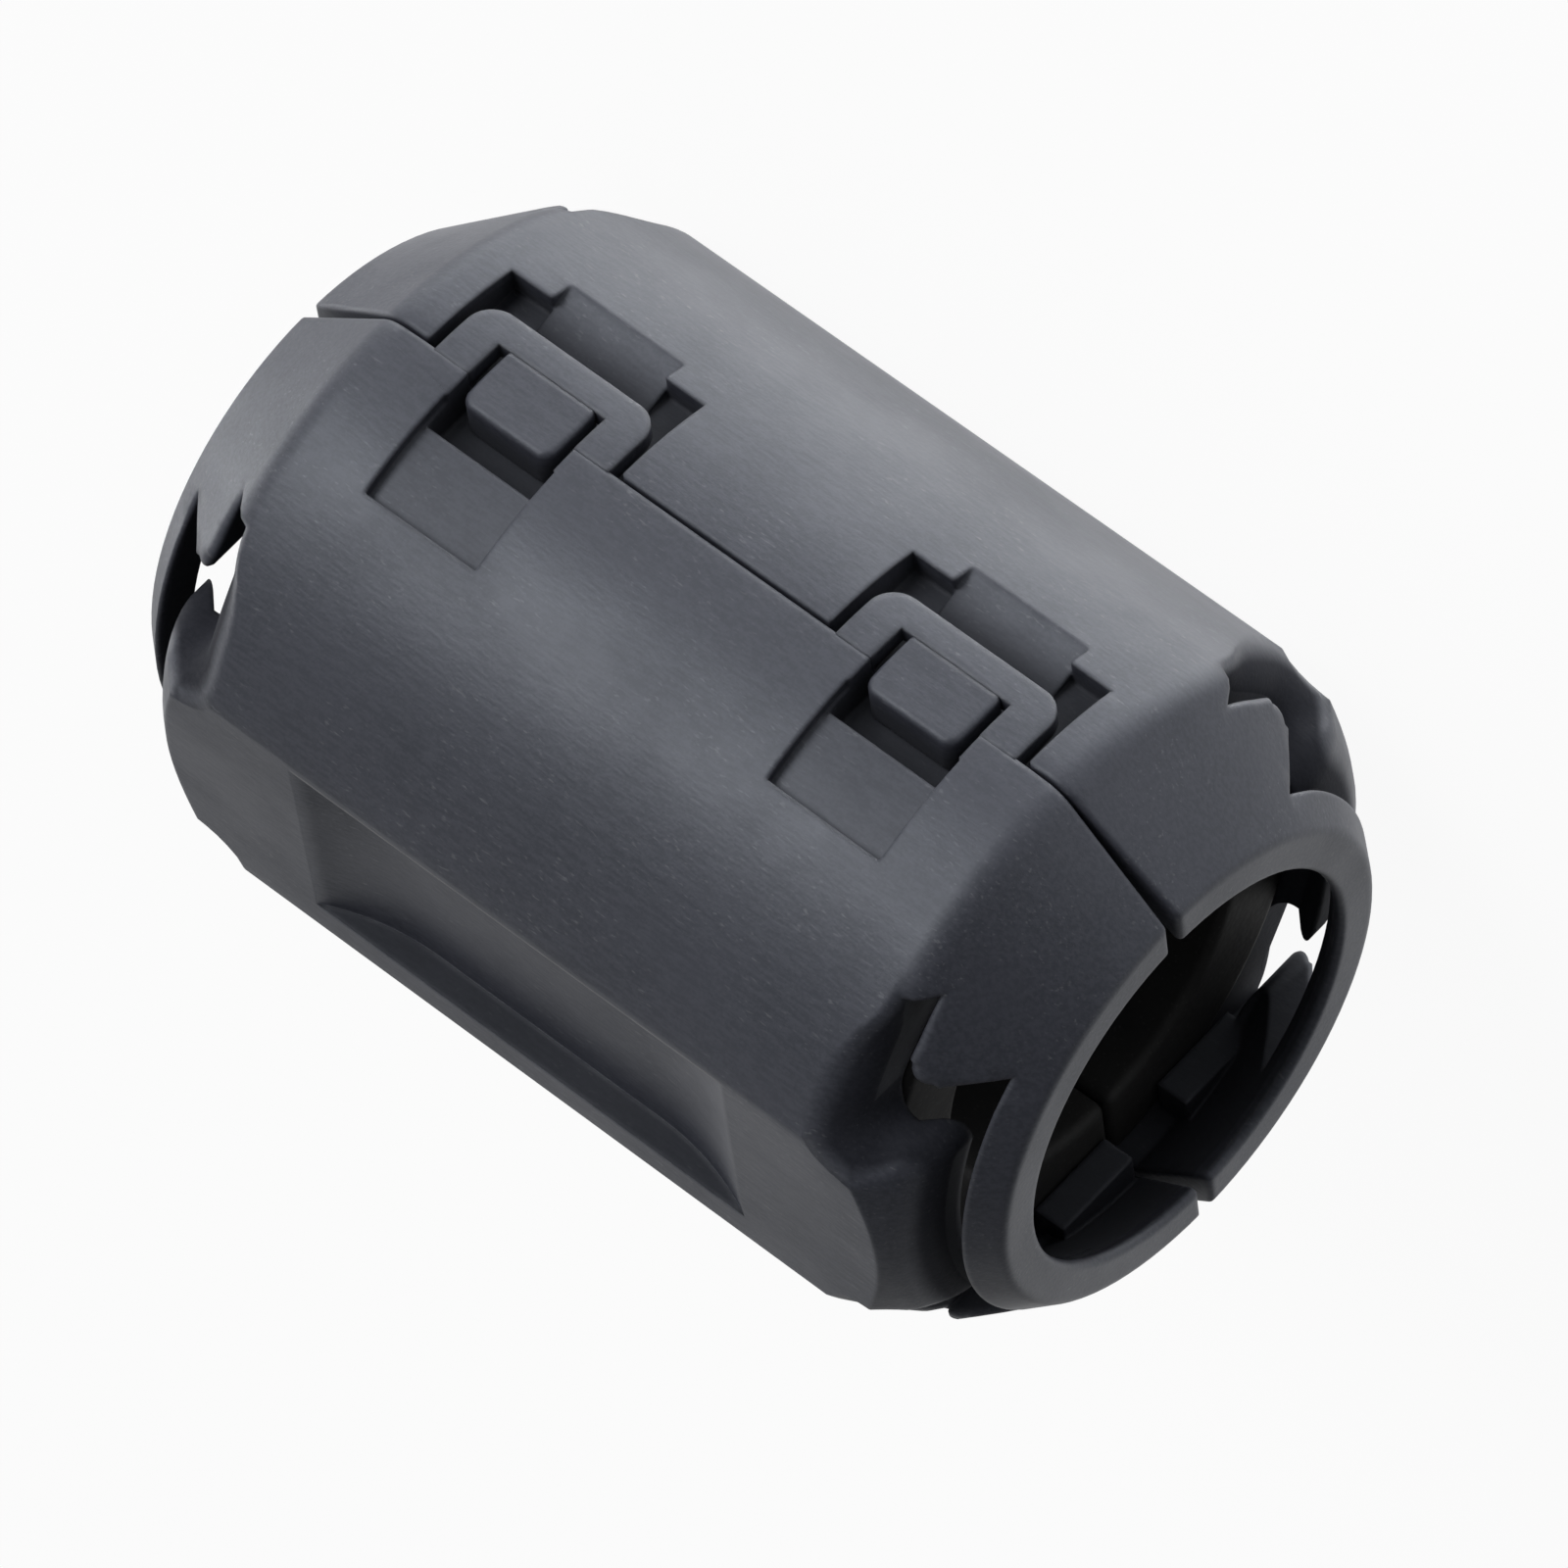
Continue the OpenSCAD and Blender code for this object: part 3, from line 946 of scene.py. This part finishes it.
def pale_floor():
    """A plain white floor, seen nearly white; its far parts are dimmer in reflections."""
    bpy.ops.object.select_all(action="DESELECT")
    bpy.ops.mesh.primitive_plane_add(size=FLOOR_WIDTH, location=(0, 0, FLOOR_Z))
    floor = bpy.context.object
    floor.name = "floor"
    bpy.ops.object.transform_apply(location=True, rotation=True, scale=True)
    made = bpy.data.materials.new("floor_white")
    made.use_nodes = True
    tree = made.node_tree
    tree.nodes.clear()
    matt = node(tree, "ShaderNodeBsdfDiffuse")
    matt.inputs["Color"].default_value = (FLOOR_WHITE, FLOOR_WHITE, FLOOR_WHITE, 1)
    path = node(tree, "ShaderNodeLightPath").outputs
    place = node(tree, "ShaderNodeTexCoord").outputs["Object"]
    dimming = ramp(tree, vector_maths(tree, "LENGTH", place), FLOOR_NEAR, FLOOR_FAR)
    level = mapped(tree, dimming, 1, FLOOR_FAR_LEVEL)
    glow = node(tree, "ShaderNodeEmission")
    join(tree, maths(tree, "MAXIMUM", path["Is Camera Ray"], level), glow.inputs["Strength"])
    seen = maths(tree, "MAXIMUM", path["Is Camera Ray"], path["Is Glossy Ray"])
    shown = maths(tree, "MAXIMUM", seen, path["Is Transmission Ray"])
    blend = node(tree, "ShaderNodeMixShader")
    join(tree, product(tree, shown, FLOOR_GLOW), blend.inputs["Fac"])
    join(tree, matt.outputs["BSDF"], blend.inputs[1])
    join(tree, glow.outputs["Emission"], blend.inputs[2])
    end = node(tree, "ShaderNodeOutputMaterial")
    join(tree, blend.outputs["Shader"], end.inputs["Surface"])
    floor.data.materials.append(made)
    floor.visible_shadow = False


def soft_box(name, direction, distance, width, radiance):
    """A square soft light that faces the object from the given direction; sizes in metres."""
    away = Vector(direction).normalized()
    data = bpy.data.lights.new(name, "AREA")
    data.shape = "SQUARE"
    data.size = width
    data.energy = radiance * math.pi * width * width
    data.cycles.use_multiple_importance_sampling = False
    lamp = bpy.data.objects.new(name, data)
    lamp.location = away * distance
    lamp.rotation_euler = away.to_track_quat("Z", "Y").to_euler()
    bpy.context.scene.collection.objects.link(lamp)


def studio_world():
    """Soft room light: brighter on the far side, dim behind the camera and overhead."""
    world = bpy.data.worlds.new("studio")
    bpy.context.scene.world = world
    world.use_nodes = True
    tree = world.node_tree
    tree.nodes.clear()
    direction = split_up(tree, node(tree, "ShaderNodeTexCoord").outputs["Generated"])
    across = mapped(tree, ramp(tree, direction["X"], -0.8, 0.8), 0.15, 0.9)
    upward = mapped(tree, ramp(tree, direction["Z"], 0.1, 0.7), 1, 0.6)
    light = node(tree, "ShaderNodeBackground")
    light.inputs["Color"].default_value = (1, 1, 1, 1)
    join(tree, product(tree, across, upward), light.inputs["Strength"])
    end = node(tree, "ShaderNodeOutputWorld")
    join(tree, light.outputs["Background"], end.inputs["Surface"])


def photo_camera():
    """The camera where the photograph was taken from."""
    data = bpy.data.cameras.new("camera")
    data.sensor_width = CAMERA_SENSOR
    data.lens = CAMERA_LENS
    data.clip_start = 0.01
    data.clip_end = 20
    camera = bpy.data.objects.new("camera", data)
    turn = Matrix((CAMERA_RIGHT, CAMERA_UP, CAMERA_BACK)).transposed().to_4x4()
    camera.matrix_world = Matrix.Translation(CAMERA_PLACE) @ turn
    bpy.context.scene.collection.objects.link(camera)
    bpy.context.scene.camera = camera


pale_floor()
studio_world()
soft_box("front_light", (0.40, -0.81, 0.43), distance=0.7, width=0.36, radiance=6.0)
soft_box("table_light", (0.35, -0.32, -0.88), distance=0.5, width=0.6, radiance=2.5)
soft_box("side_light", (0.95, 0.25, 0.12), distance=0.7, width=0.4, radiance=2.0)
photo_camera()
bpy.context.scene.view_settings.view_transform = "Standard"
